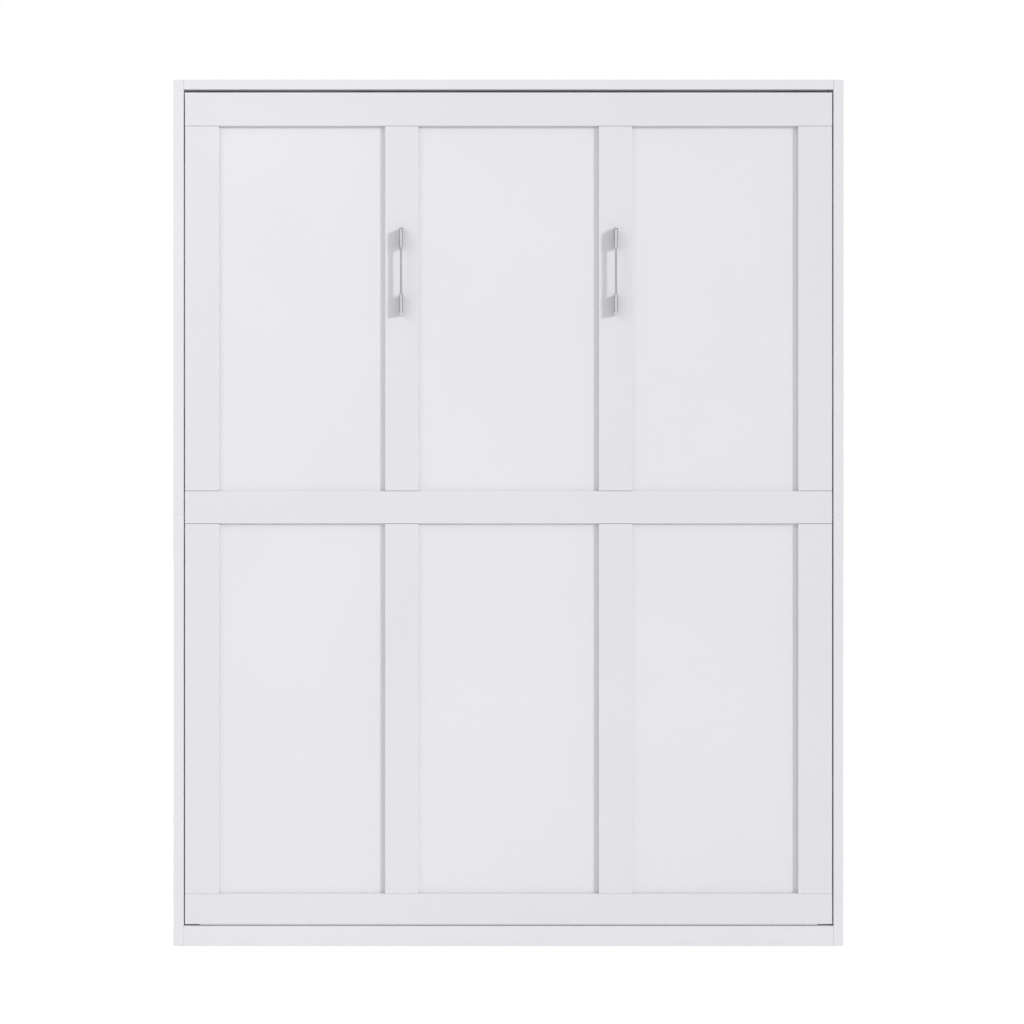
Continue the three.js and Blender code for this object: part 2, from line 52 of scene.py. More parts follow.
SIDES = (("left", -1), ("right", 1))

# ---- Camera: square to the face, a little above half the cabinet's height ----

CAMERA_DISTANCE = 5.0
CAMERA_LENS = 70.54
CAMERA_RIGHT = 8.6 * MM
CAMERA_ABOVE_MIDDLE = 2.7 * MM

cabinet_low, cabinet_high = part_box("left_side_lower")[0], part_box("right_side_upper")[1]
front_plane = cabinet_low.y
cabinet_height = cabinet_high.z


def make_camera():
    data = bpy.data.cameras.new("camera")
    data.lens = CAMERA_LENS
    camera = bpy.data.objects.new("camera", data)
    bpy.context.collection.objects.link(camera)
    height = cabinet_height / 2 + CAMERA_ABOVE_MIDDLE
    camera.location = (CAMERA_RIGHT, front_plane - CAMERA_DISTANCE, height)
    camera.rotation_euler = (math.pi / 2, 0, 0)
    bpy.context.scene.camera = camera


make_camera()

# ---- Materials ----


def linear(hex_colour):
    """An sRGB hex colour as linear RGBA."""
    values = [int(hex_colour[i : i + 2], 16) / 255 for i in (1, 3, 5)]
    return [v / 12.92 if v <= 0.04045 else ((v + 0.055) / 1.055) ** 2.4 for v in values] + [1]


def add(tree, kind, inputs=(), **settings):
    """Adds a node; an input is a value, or another node's output to link."""
    made = tree.nodes.new(kind)
    for key, value in settings.items():
        setattr(made, key, value)
    for socket, value in dict(inputs).items():
        if isinstance(value, bpy.types.NodeSocket):
            tree.links.new(value, made.inputs[socket])
        else:
            made.inputs[socket].default_value = value
    return made


def surface(name, inputs):
    """A material with one Principled shader, and its node tree."""
    material = bpy.data.materials.new(name)
    material.use_nodes = True
    tree = material.node_tree
    tree.nodes.clear()
    shader = add(tree, "ShaderNodeBsdfPrincipled", inputs)
    output = add(tree, "ShaderNodeOutputMaterial")
    tree.links.new(shader.outputs[0], output.inputs["Surface"])
    return material, tree, shader


def grain(tree, size_mm, stretch=(1, 1, 1), detail=2.0):
    """Noise whose blotches are size_mm across, drawn out along the axes given by stretch."""
    place = add(tree, "ShaderNodeTexCoord")
    scale = [1 / (size_mm * MM * s) for s in stretch]
    mapped = add(tree, "ShaderNodeMapping", {"Vector": place.outputs["Object"], "Scale": scale})
    noise = add(tree, "ShaderNodeTexNoise", {"Vector": mapped.outputs[0], "Scale": 1.0, "Detail": detail})
    return noise.outputs["Fac"]


def between(tree, value, low, high, low_in=0.3, high_in=0.7):
    """Stretches a noise value to run from low to high."""
    ends = {"Value": value, "From Min": low_in, "From Max": high_in, "To Min": low, "To Max": high}
    return add(tree, "ShaderNodeMapRange", ends).outputs[0]


def blend_colours(tree, value, first, second):
    inputs = {"Factor": value, 6: linear(first), 7: linear(second)}
    return add(tree, "ShaderNodeMix", inputs, data_type="RGBA").outputs[2]


def bump(tree, shader, value, height_mm):
    inputs = {"Height": value, "Distance": height_mm * MM, "Strength": 1.0}
    made = add(tree, "ShaderNodeBump", inputs)
    tree.links.new(made.outputs[0], shader.inputs["Normal"])


def colour(tree, shader, value, first, second):
    tree.links.new(blend_colours(tree, value, first, second), shader.inputs["Base Color"])


def roughness(tree, shader, value, low, high):
    tree.links.new(between(tree, value, low, high), shader.inputs["Roughness"])


def satin_lacquer(name, light, shade, gloss):
    # Sprayed satin lacquer: even cool white with a faint orange peel that softens its reflections
    material, tree, shader = surface(name, {"IOR": 1.5})
    clouds = between(tree, grain(tree, 420, detail=1.0), 0, 1)
    colour(tree, shader, clouds, light, shade)
    roughness(tree, shader, grain(tree, 160), gloss, gloss + 0.05)
    bump(tree, shader, grain(tree, 2.2, detail=1.0), 0.012)
    return material


def melamine_board():
    # Melamine paper on chipboard: white, with a fine pressed pearl texture that kills the gloss
    material, tree, shader = surface("white_melamine", {"IOR": 1.5})
    colour(tree, shader, between(tree, grain(tree, 300), 0, 1), "#E6E6E8", "#E3E3E5")
    roughness(tree, shader, grain(tree, 3), 0.5, 0.62)
    bump(tree, shader, grain(tree, 0.9, detail=1.0), 0.02)
    return material


def planed_wood(name, light, dark, along, ring_mm):
    # Planed softwood or birch: long pale streaks of grain, matt, with pores drawn out along it
    material, tree, shader = surface(name, {"IOR": 1.5})
    streaks = [30 if axis == along else 1 for axis in range(3)]
    rings = between(tree, grain(tree, ring_mm, streaks, detail=4.0), 0, 1, 0.35, 0.65)
    colour(tree, shader, rings, light, dark)
    roughness(tree, shader, grain(tree, 12, streaks), 0.55, 0.7)
    bump(tree, shader, grain(tree, 1.2, streaks, detail=3.0), 0.06)
    return material


def zinc_plate():
    # Bright zinc plating on rolled steel: bluish silver, cloudy patches, soft rolled lines
    material, tree, shader = surface("zinc_plated_steel", {"Metallic": 1.0})
    colour(tree, shader, between(tree, grain(tree, 18), 0, 1), "#C3C6CA", "#A9ADB3")
    roughness(tree, shader, grain(tree, 9), 0.26, 0.4)
    bump(tree, shader, grain(tree, 0.6, (1, 1, 30)), 0.01)
    return material


def screw_plate():
    # Clear zinc on small screws: brighter and smoother than the rolled plates round them
    material, tree, shader = surface("bright_zinc_screws", {"Metallic": 1.0})
    colour(tree, shader, between(tree, grain(tree, 2), 0, 1), "#E2E4E6", "#CFD2D6")
    roughness(tree, shader, grain(tree, 1.5), 0.16, 0.28)
    return material


def chrome_plate():
    # Polished chrome: a near mirror, with a breath of haze where it is handled
    material, tree, shader = surface("polished_chrome", {"Metallic": 1.0})
    colour(tree, shader, between(tree, grain(tree, 25), 0, 1), "#EDEEF0", "#E6E7EA")
    roughness(tree, shader, grain(tree, 14), 0.04, 0.09)
    rounded = add(tree, "ShaderNodeBevel", {"Radius": 3.0 * MM}, samples=8)
    tree.links.new(rounded.outputs[0], shader.inputs["Normal"])
    return material


def powder_coat(name, light, dark, gloss):
    # Powder coat baked on steel: an even colour under a pebbled skin
    material, tree, shader = surface(name, {"IOR": 1.5})
    colour(tree, shader, between(tree, grain(tree, 40), 0, 1), light, dark)
    roughness(tree, shader, grain(tree, 10), gloss, gloss + 0.1)
    bump(tree, shader, grain(tree, 1.1, detail=1.0), 0.03)
    return material


def filled_plastic():
    # Bronze-filled bearing plastic: dull brown with fine bright specks
    material, tree, shader = surface("bronze_filled_plastic", {"IOR": 1.5})
    colour(tree, shader, between(tree, grain(tree, 0.8), 0, 1, 0.5, 0.75), "#6A5A40", "#A08A5C")
    roughness(tree, shader, grain(tree, 2), 0.45, 0.6)
    bump(tree, shader, grain(tree, 0.8), 0.02)
    return material


def moulded_rubber(name, light, dark):
    # Moulded rubber or soft plastic: matt, with a fine spark-eroded texture
    material, tree, shader = surface(name, {"IOR": 1.5})
    colour(tree, shader, between(tree, grain(tree, 15), 0, 1), light, dark)
    roughness(tree, shader, grain(tree, 4), 0.6, 0.75)
    bump(tree, shader, grain(tree, 0.7), 0.03)
    return material


# How far apart a wave texture's bands lie at scale 1, in its own units
BAND_PERIOD = 0.31416


def woven(name, light, dark, thread_mm, fuzz, height_mm):
    # Knitted or woven cloth: rows of threads that cross, with a soft sheen at grazing angles
    material, tree, shader = surface(name, {"IOR": 1.45, "Sheen Weight": fuzz, "Sheen Roughness": 0.5})
    place = add(tree, "ShaderNodeTexCoord")
    scale = BAND_PERIOD / (thread_mm * MM * 2)
    threads = {"Vector": place.outputs["Object"], "Scale": scale, "Distortion": 0.6}
    rows = []
    for axis in ("X", "Z", "Y"):
        wave = add(tree, "ShaderNodeTexWave", threads, bands_direction=axis)
        rows.append(wave.outputs["Fac"])
    cross = add(tree, "ShaderNodeMath", {0: rows[0], 1: rows[1]}, operation="MAXIMUM")
    cross = add(tree, "ShaderNodeMath", {0: cross.outputs[0], 1: rows[2]}, operation="MAXIMUM")
    mottle = add(tree, "ShaderNodeMath", {0: cross.outputs[0], 1: grain(tree, 7)}, operation="MULTIPLY")
    colour(tree, shader, between(tree, mottle.outputs[0], 1, 0, 0.2, 0.7), light, dark)
    roughness(tree, shader, grain(tree, 5), 0.8, 0.92)
    bump(tree, shader, cross.outputs[0], height_mm)
    return material


face_lacquer = satin_lacquer("satin_lacquer_face", "#E7E7EA", "#E5E5E8", 0.36)
strip_lacquer = satin_lacquer("satin_lacquer_strips", "#E3E3E7", "#E1E1E5", 0.36)
board_lacquer = satin_lacquer("satin_lacquer_cabinet", "#E6E6EA", "#E4E4E8", 0.4)
melamine = melamine_board()
pine = planed_wood("planed_pine", "#E2C08C", "#C99B5F", 2, 7)
birch = planed_wood("bent_birch_ply", "#E6D2AC", "#D2B684", 0, 5)
zinc = zinc_plate()
bright_zinc = screw_plate()
chrome = chrome_plate()
black_coat = powder_coat("black_powder_coat", "#1B1C1E", "#222326", 0.4)
white_coat = powder_coat("white_powder_coat", "#DEDEE0", "#D8D8DA", 0.35)
bearing_plastic = filled_plastic()
black_rubber = moulded_rubber("black_rubber", "#1A1A1B", "#262627")
cap_plastic = moulded_rubber("white_cap_plastic", "#E9E9EB", "#E3E3E6")
ticking = woven("knitted_ticking", "#F1F0EC", "#DAD8D1", 2.4, 0.25, 0.25)
border_cloth = woven("border_knit", "#C9CACD", "#A9ABB0", 2.6, 0.25, 0.3)
piping_cloth = woven("piping_tape", "#8F9298", "#74777D", 1.6, 0.2, 0.15)
webbing = woven("strap_webbing", "#4C4F55", "#33353A", 1.5, 0.15, 0.2)

FINISHES = {
    "white_lacquered_board": board_lacquer,
    "white_melamine_board": melamine,
    "pine": pine,
    "birch_slat": birch,
    "zinc_plated_steel": zinc,
    "polished_chrome": chrome,
    "black_painted_steel": black_coat,
    "white_painted_steel": white_coat,
    "bronze_filled_plastic": bearing_plastic,
    "mattress_ticking": ticking,
    "strap_webbing": webbing,
}

# ---- The CAD pieces: their finishes and their eased edges ----

EDGE_MM = {
    "white_lacquered_board": 1.1,
    "white_melamine_board": 0.6,
    "pine": 1.5,
    "birch_slat": 2.5,
    "zinc_plated_steel": 0.3,
    "polished_chrome": 0.5,
    "black_painted_steel": 0.4,
    "white_painted_steel": 0.8,
    "bronze_filled_plastic": 0.3,
}
SMOOTH_ANGLE = math.radians(32)
WELD_REACH = 0.02 * MM


def ease_edges(solid, width_mm):
    weld = solid.modifiers.new("weld", "WELD")
    weld.merge_threshold = WELD_REACH
    bevel = solid.modifiers.new("eased_edges", "BEVEL")
    bevel.width = width_mm * MM
    bevel.segments = 3
    bevel.limit_method = "ANGLE"
    bevel.angle_limit = SMOOTH_ANGLE
    solid.modifiers.new("flats", "WEIGHTED_NORMAL").keep_sharp = False


def finish_cad_pieces():
    for row in frame["record"]["subparts"]:
        name, slot = row["node"], row["material_slot"]
        solid = frame["nodes"][name]
        finish = FINISHES[slot]
        if name.endswith("face_board"):
            finish = face_lacquer
        elif name.endswith(("face_rail", "stile")):
            finish = strip_lacquer
        solid.data.materials.clear()
        solid.data.materials.append(finish)
        if slot in EDGE_MM:
            for polygon in solid.data.polygons:
                polygon.use_smooth = True
            ease_edges(solid, EDGE_MM[slot])


finish_cad_pieces()

# ---- Building pieces ----


def piece(name, mesh, material, body):
    """Makes an object of a mesh, gives it its finish and fastens it to a body."""
    mesh.materials.append(material)
    made = bpy.data.objects.new(name, mesh)
    bpy.context.collection.objects.link(made)
    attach(made, body)
    return made


def mesh_of(name, build, smooth=True):
    """A mesh that build(bm) fills in, with its faces turned outwards."""
    bm = bmesh.new()
    build(bm)
    bmesh.ops.recalc_face_normals(bm, faces=bm.faces)
    for face in bm.faces:
        face.smooth = smooth
    mesh = bpy.data.meshes.new(name)
    bm.to_mesh(mesh)
    bm.free()
    return mesh


def keep_flats(made):
    """Shades broad faces flat up to their rounded edges."""
    made.modifiers.new("flats", "WEIGHTED_NORMAL").keep_sharp = True


def frame_along(axis):
    """A rotation that takes +Z to an axis."""
    return Vector((0, 0, 1)).rotation_difference(Vector(axis)).to_matrix().to_4x4()


def turn_profile(bm, profile, place, segments=24, radius_at=None):
    """Adds a turned shape: (radius, height) points about the place's own Z axis, closed at both ends."""
    rings = []
    for row, (radius, height) in enumerate(profile):
        ring = []
        for k in range(segments):
            angle = 2 * math.pi * k / segments
            r = radius_at(row, radius, angle) if radius_at else radius
            point = Vector((r * math.cos(angle), r * math.sin(angle), height))
            ring.append(bm.verts.new(place @ point))
        rings.append(ring)
    for lower, upper in zip(rings, rings[1:]):
        for k in range(segments):
            n = (k + 1) % segments
            bm.faces.new((lower[k], lower[n], upper[n], upper[k]))
    bm.faces.new(rings[0])
    bm.faces.new(rings[-1])


def block(bm, low, high, bevel=0.0):
    """Adds a box between two corners, its edges rounded by bevel."""
    middle = (Vector(low) + Vector(high)) / 2
    size = Vector(high) - Vector(low)
    place = Matrix.Translation(middle) @ Matrix.Diagonal((*size, 1))
    made = bmesh.ops.create_cube(bm, size=1, matrix=place)
    if bevel:
        edges = list({edge for vert in made["verts"] for edge in vert.link_edges})
        bmesh.ops.bevel(bm, geom=edges, offset=bevel, segments=3, profile=0.5, affect="EDGES")


# ---- Screws and caps ----

SOCKET_ROWS = (4, 5)
SCREW_RADIUS = 4.5 * MM
DOME_HEIGHT = 1.4 * MM
# Countersunk heads stand this far out of a plate that moving pieces pass close by
FLUSH_HEIGHT = 0.5 * MM
# Screws in millimetres from the pivot: up the plate's middle line, and one at each side (apart, above)
CABINET_PLATE_STEPS = (50, 150, 270, 390, 500)
CABINET_PLATE_PAIR = (28, -12)
BED_PLATE_STEPS = (-60, -105, -150)
BED_PLATE_PAIR = (26, 8)
# The bed plate's outer face from the bush's outer end
BED_PLATE_PAST_BUSH = 3.2 * MM
# The lower stud of a strut from the fold's pivot, with the bed closed: back and up
STRUT_FOOT = (20 * MM, -200 * MM)
# Turned profiles, (radius, height)
WASHER_HEIGHT = 1.4 * MM
WASHER = ((9 * MM, 0), (9 * MM, 0.8 * MM), (8 * MM, WASHER_HEIGHT), (4.6 * MM, WASHER_HEIGHT))
TOP_CLIP = ((7.5 * MM, 0), (7.5 * MM, 1.2 * MM), (6.6 * MM, 1.6 * MM), (3 * MM, 1.6 * MM))
FOOT_BOLT = (
    (4.9 * MM, -13.2 * MM),
    (4.9 * MM, 0),
    (8 * MM, 0),
    (8 * MM, 2.4 * MM),
    (7 * MM, 3 * MM),
)
# How far from the strut's middle line the clip and the bolt's head sit
CLIP_OUT = 6 * MM
BOLT_HEAD_OUT = 6.3 * MM


def turned_set(name, body, places, profile, material, segments=28, radius_at=None, smooth=False):
    """One piece of identical turned shapes, each at a (point, axis)."""

    def build(bm):
        for point, axis in places:
            turn_profile(bm, profile, Matrix.Translation(point) @ frame_along(axis), segments, radius_at)

    return piece(name, mesh_of(name, build, smooth), material, body)


def hexagon(row, radius, angle):
    """Pulls a screw's socket rows in to a hexagon, and leaves its other rows round."""
    if row not in SOCKET_ROWS:
        return radius
    return radius * math.cos(math.pi / 6) / math.cos((angle + math.pi / 6) % (math.pi / 3) - math.pi / 6)


def screw_heads(name, body, places, radius=SCREW_RADIUS, height=DOME_HEIGHT):
    """Low domed heads with hexagon sockets, each at a (point, axis)."""
    socket = radius * 0.42
    profile = [
        (radius, 0),
        (radius, height * 0.35),
        (radius * 0.82, height * 0.85),
        (radius * 0.55, height),
        (socket, height),
        (socket * 0.96, height * 0.2),
    ]
    turned_set(name, body, places, profile, bright_zinc, 24, hexagon)


def cover_caps(name, body, places, radius=7 * MM):
    """White plastic caps pressed over the boards' fixings."""
    profile = [(radius, 0), (radius, 0.5 * MM), (radius * 0.9, 1.0 * MM), (radius * 0.5, 1.3 * MM)]
    turned_set(name, body, places, profile, cap_plastic, smooth=True)


def node_point(node, across, back, up):
    """A point of a node's box, each part from 0, the low side, to 1, the high side."""
    low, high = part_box(node)
    return Vector(low[i] + (high[i] - low[i]) * part for i, part in enumerate((across, back, up)))


def inner_face(side):
    """The share across a node's box of the face that looks towards the bed's middle."""
    return 0 if side > 0 else 1


def outer_face(side):
    return 1 - inner_face(side)


def plate_line(start, end, heights):
    """Points on a plate's middle line, (back, up) from its start, at the given heights above it."""
    lean = (end[0] - start[0]) / (end[1] - start[1])
    return [(start[0] + lean * height, start[1] + height) for height in heights]


def plate_screw_places(pivot, end, steps_mm, pair_mm):
    """Places up a plate's middle line from the pivot, and one at each side of the pivot."""
    places = plate_line(pivot, end, [step * MM for step in steps_mm])
    apart, above = pair_mm
    return places + [(pivot[0] + way * apart * MM, pivot[1] + above * MM) for way in (-1, 1)]


def screws_on_plate(name, body, x, side, places, height):
    """Screw heads on one flat of a plate, the side they look towards given, at (back, up) places."""
    heads = [(Vector((x, back, up)), (side, 0, 0)) for back, up in places]
    screw_heads(name, body, heads, height=height)


def joint_at(name):
    row = next(row for row in frame["joints"] if row["name"] == name)
    return row["pos_m"][1:]


def strut_foot():
    back, up = joint_at("bed_fold")
    return back + STRUT_FOOT[0], up + STRUT_FOOT[1]


def fix_cabinet_plates():
    """Countersunk screws where moving pieces pass close by, domed ones on the joint plates."""
    pivot = joint_at("bed_fold")
    for name, side in SIDES:
        x = node_point(f"{name}_joint_plate", inner_face(side), 0, 0).x
        top = joint_at(f"{name}_strut_swing")
        places = plate_screw_places(pivot, top, CABINET_PLATE_STEPS, CABINET_PLATE_PAIR)
        screws_on_plate(f"{name}_cabinet_plate_screws", "cabinet", x, -side, places, FLUSH_HEIGHT)
        places = []
        for back in (0.12, 0.5, 0.88):
            for up in (0.15, 0.85):
                places.append(node_point(f"{name}_joint_plate", 0, back, up).yz)
        screws_on_plate(f"{name}_joint_plate_screws", "cabinet", x, -side, places, DOME_HEIGHT)


def fix_bed_plates():
    pivot = joint_at("bed_fold")
    places = plate_screw_places(pivot, strut_foot(), BED_PLATE_STEPS, BED_PLATE_PAIR)
    for name, side in SIDES:
        x = node_point(f"{name}_pivot_bush", outer_face(side), 0, 0).x + side * BED_PLATE_PAST_BUSH
        screws_on_plate(f"{name}_bed_plate_screws", "bed", x, side, places, DOME_HEIGHT)


def cap_cabinet_boards():
    ends = (0.012, 0.988)
    down = [(node_point("top_panel", x, y, 0), (0, 0, -1)) for x in ends for y in (0.12, 0.5, 0.86)]
    backs = []
    for node, heights in (
        ("upper_wall_rail", (0.25, 0.75)),
        ("middle_wall_rail", (0.25, 0.75)),
        ("headboard_panel", (0.1, 0.5, 0.9)),
        ("lower_back_rail", (0.3, 0.7)),
    ):
        backs += [(node_point(node, x, 0, z), (0, -1, 0)) for x in ends for z in heights]
    kick = [(node_point("kick_board", x, 1, 0.5), (0, 1, 0)) for x in ends]
    cover_caps("cabinet_cover_caps", "cabinet", down + backs + kick)


def cap_bed_rails():
    places = []
    for name, side in SIDES:
        for up in (0.0043, 0.9957):
            for back in (0.3, 0.75):
                point = node_point(f"{name}_bed_rail", outer_face(side), back, up)
                places.append((point, (side, 0, 0)))
    cover_caps("bed_rail_caps", "bed", places, 5 * MM)


def fix_to_wall():
    places = []
    for node in ("upper_wall_rail", "middle_wall_rail"):
        places += [(node_point(node, x, 0, 0.5), (0, -1, 0)) for x in (0.13, 0.37, 0.63, 0.87)]
    turned_set("wall_washers", "cabinet", places, WASHER, zinc)
    raised = [(point + Vector(axis) * WASHER_HEIGHT, axis) for point, axis in places]
    screw_heads("wall_screws", "cabinet", raised, 5 * MM, 2 * MM)


# ---- Strut ends ----


def fit_strut_ends():
    """A clip on each strut's top stud, and a bolt through its lower eye."""
    for name, side in SIDES:
        low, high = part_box(f"{name}_strut_rod")
        middle = (low.x + high.x) / 2
        top = Vector((middle - side * CLIP_OUT, *joint_at(f"{name}_strut_swing")))
        foot = Vector((middle + side * BOLT_HEAD_OUT, *strut_foot()))
        for end, body, profile, segments, point, way in (
            ("top_clip", "cylinder", TOP_CLIP, 28, top, -side),
            ("foot_bolt", "rod", FOOT_BOLT, 24, foot, side),
        ):
            fitting, rider = f"{name}_strut_{end}", f"{name}_strut_{body}"
            places = [(point, (way, 0, 0))]
            turned_set(fitting, rider, places, profile, zinc, segments)


# ---- Rubber and plastic ends ----


LEG_CAP_SOLE = 3 * MM
LEG_CAP_LENGTH = 26 * MM
LEG_CAP_WALL = 0.7 * MM
LEG_CAP_ROUNDING = 0.9 * MM
# A slat cap's length, its walls past the slat's end, below, above and beside it, and its rounding
SLAT_CAP_LENGTH = 24 * MM
SLAT_CAP_WALLS = (0.4 * MM, 0.1 * MM, 0.3 * MM, 2 * MM)
SLAT_CAP_ROUNDING = 0.8 * MM


def cap_legs():
    for name, side in SIDES:
        low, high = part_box(f"{name}_leg")
        tip = low.x if side > 0 else high.x
        x = sorted((tip - side * LEG_CAP_SOLE, tip + side * LEG_CAP_LENGTH))
        start = (x[0], low.y - LEG_CAP_WALL, low.z - LEG_CAP_WALL)
        end = (x[1], high.y + LEG_CAP_WALL, high.z + LEG_CAP_WALL)
        mesh = mesh_of(f"{name}_leg_cap", lambda bm: block(bm, start, end, LEG_CAP_ROUNDING))
        keep_flats(piece(f"{name}_leg_cap", mesh, black_rubber, f"{name}_leg"))


def cap_slats():
    past, below, above, beside = SLAT_CAP_WALLS
    slats = [row["node"] for row in frame["record"]["subparts"] if row["node"].startswith("slat_")]

    def build(bm):
        for slat in slats:
            low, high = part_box(slat)
            for x in (
                (low.x - past, low.x + SLAT_CAP_LENGTH),
                (high.x - SLAT_CAP_LENGTH, high.x + past),
            ):
                start = (x[0], low.y - below, low.z - beside)
                end = (x[1], high.y + above, high.z + beside)
                block(bm, start, end, SLAT_CAP_ROUNDING)

    made = piece("slat_caps", mesh_of("slat_caps", build), black_rubber, "bed")
    keep_flats(made)


# ---- Mattress ----

CORNER_RADIUS = 60 * MM
EDGE_RADIUS = 20 * MM
GRID_STEP = 19 * MM
TUFT_SPACING = 190 * MM
TUFT_DEPTH = 7 * MM
TUFT_REACH = 24 * MM
TUFT_HELD = 13 * MM
TOP_SWELL = 10 * MM
SIDE_SWELL = 5 * MM
QUILT_SPACING = 95 * MM
QUILT_DEPTH = 2.6 * MM
QUILT_WIDTH = 9 * MM
BORDER_GROOVE_DEPTH = 2.2 * MM
BORDER_GROOVE_WIDTH = 6 * MM
PIPING_RADIUS = 4.2 * MM
# The seams: how far in from the panels, give or take the band, and how far in from the sides they hold
SEAM_IN = 6 * MM
SEAM_BAND = 3 * MM
SEAM_REACH = 9 * MM
# The piping's middle, as shares of the rounded edge: in from the sides, and down from the panels
PIPING_IN = 0.24
PIPING_DOWN = 0.29
# The border's grooves, as shares of its height from its middle
BORDER_GROOVES = (-0.26, 0.26)
# The strap holds the top down, and lets it rise again over this distance beside it
STRAP_FADE = 22 * MM
STRAP_ROOM = 0.2 * MM
FREE_RISE = 6 * MM
PRESSURE = 4.0
STIFFNESS = 40
BENDING_STIFFNESS = 2
SWELL_STEPS = 20
EDGE_STEPS = (0, 4 * MM, 9 * MM, 15 * MM, 22 * MM, 36 * MM, 52 * MM)


def grid_line(low, high):
    """Points from low to high, close together at both ends where the form turns."""
    start = [low + step for step in EDGE_STEPS]
    end = [high - step for step in reversed(EDGE_STEPS)]
    count = max(2, round((end[0] - start[-1]) / GRID_STEP))
    middle = [start[-1] + (end[0] - start[-1]) * k / count for k in range(1, count)]
    return start + middle + end


def round_form(point, low, high):
    """Rounds a box's plan corners, then the edges where its panels meet its border."""
    half = (high - low) / 2
    centre = (high + low) / 2
    p = point - centre
    inner = Vector((half.x - CORNER_RADIUS, 0, half.z - CORNER_RADIUS))
    core = Vector((min(max(p.x, -inner.x), inner.x), 0, min(max(p.z, -inner.z), inner.z)))
    out = Vector((p.x - core.x, 0, p.z - core.z))
    if out.length < 1e-9:
        return point
    reach = max(abs(out.x), abs(out.z))
    way = out.normalized()
    side, rise = reach - (CORNER_RADIUS - EDGE_RADIUS), abs(p.y) - (half.y - EDGE_RADIUS)
    y = p.y
    if side > 0 and rise > 0:
        span = math.hypot(side, rise)
        turned = max(side, rise) / span
        reach = CORNER_RADIUS - EDGE_RADIUS + side * turned
        y = math.copysign(half.y - EDGE_RADIUS + rise * turned, p.y)
    return centre + core + way * reach + Vector((0, y, 0))


def box_shell(bm, low, high):
    """The surface of a box as a grid of quads, rounded."""
    lines = [grid_line(low[i], high[i]) for i in range(3)]
    ends = [len(line) - 1 for line in lines]
    corner = {}

    def vertex(*ijk):
        if ijk not in corner:
            point = Vector(lines[axis][k] for axis, k in enumerate(ijk))
            corner[ijk] = bm.verts.new(round_form(point, low, high))
        return corner[ijk]

    for axis in range(3):
        first, second = [a for a in range(3) if a != axis]
        for end in (0, ends[axis]):
            for i in range(ends[first]):
                for j in range(ends[second]):
                    square = []
                    for di, dj in ((0, 0), (1, 0), (1, 1), (0, 1)):
                        place = [0, 0, 0]
                        place[axis], place[first], place[second] = end, i + di, j + dj
                        square.append(vertex(*place))
                    bm.faces.new(square)


def tuft_distance(x, z, spacing):
    """How far points are from the nearest tuft, the tufts staggered from row to row."""
    row = np.round(z / spacing * 2)
    best = np.full(x.shape, 1e9)
    for step in (-1, 0, 1):
        shift = np.where((row + step) % 2 == 0, 0, spacing / 2)
        column = np.round((x - shift) / spacing) * spacing + shift
        best = np.minimum(best, np.hypot(x - column, z - (row + step) * spacing / 2))
    return best


def quilt_distance(x, z, spacing):
    """How far points are from the nearest of the diagonal lines of stitches."""
    both = []
    for diagonal in (x + z, x - z):
        share = diagonal / spacing
        both.append(np.abs(share - np.round(share)) * spacing / math.sqrt(2))
    return np.minimum(*both)


def points_of(mesh):
    flat = np.zeros(len(mesh.vertices) * 3)
    mesh.vertices.foreach_get("co", flat)
    return flat.reshape(-1, 3)


def swell(made, held, caps):
    """Blows the shell up as cloth, its held points pinned, and keeps no point's move over its cap."""
    group = made.vertex_groups.new(name="held")
    group.add([int(i) for i in np.nonzero(held)[0]], 1.0, "REPLACE")
    cloth = made.modifiers.new("swell", "CLOTH")
    settings = cloth.settings
    settings.vertex_group_mass = "held"
    settings.use_pressure = True
    settings.uniform_pressure_force = PRESSURE
    settings.effector_weights.gravity = 0
    settings.tension_stiffness = STIFFNESS
    settings.compression_stiffness = STIFFNESS
    settings.bending_stiffness = BENDING_STIFFNESS
    for step in range(1, SWELL_STEPS + 1):
        bpy.context.scene.frame_set(step)
    seen = made.evaluated_get(bpy.context.evaluated_depsgraph_get()).to_mesh()
    start, end = points_of(made.data), points_of(seen)
    made.modifiers.remove(cloth)
    move = end - start
    length = np.linalg.norm(move, axis=1, keepdims=True)
    capped = caps[:, None] * np.tanh(length / caps[:, None])
    made.data.vertices.foreach_set("co", (start + move * capped / np.maximum(length, 1e-9)).ravel())
    bpy.context.scene.frame_set(1)


